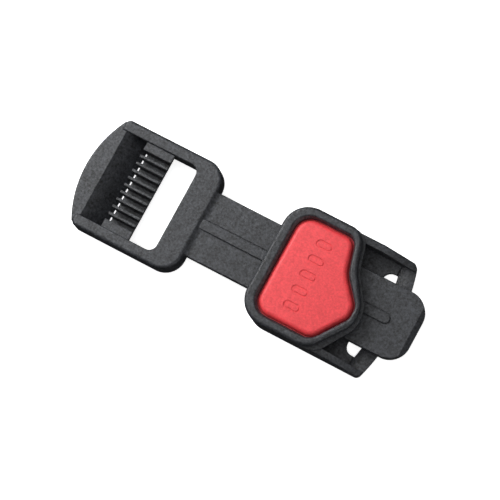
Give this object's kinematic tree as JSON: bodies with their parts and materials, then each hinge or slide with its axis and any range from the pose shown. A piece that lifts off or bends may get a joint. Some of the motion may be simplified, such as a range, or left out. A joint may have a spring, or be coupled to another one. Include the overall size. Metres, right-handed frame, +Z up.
{
  "type": "self-locking webbing buckle",
  "caption": "Fastened plastic buckle for narrow webbing: an adjuster frame with a flat tongue, locked in a housing with a press button.",
  "frame": {"origin": "on the plane the buckle lies on, under the middle of its whole length and width", "axes": "+X from the adjuster frame towards the tongue's tip, +Y across the webbing, +Z up through the button"},
  "size_m": [0.104, 0.0356, 0.012],
  "materials": {
    "black_plastic": "fine moulded grain, satin",
    "red_plastic": "satin",
    "grey_plastic": "plain moulded"
  },
  "bodies": {
    "buckle": {"tongue": "black_plastic", "housing_base": "black_plastic", "housing_cover": "black_plastic"},
    "button": {"press_button": "red_plastic", "latch": "grey_plastic"}
  },
  "joints": [
    {"name": "button_press", "type": "slide", "parent": "buckle", "child": "button", "axis": [0, 0, -1], "range_m": [0, 0.0011], "stiffness_N_per_m": 400, "springref_m": -0.002}
  ]
}
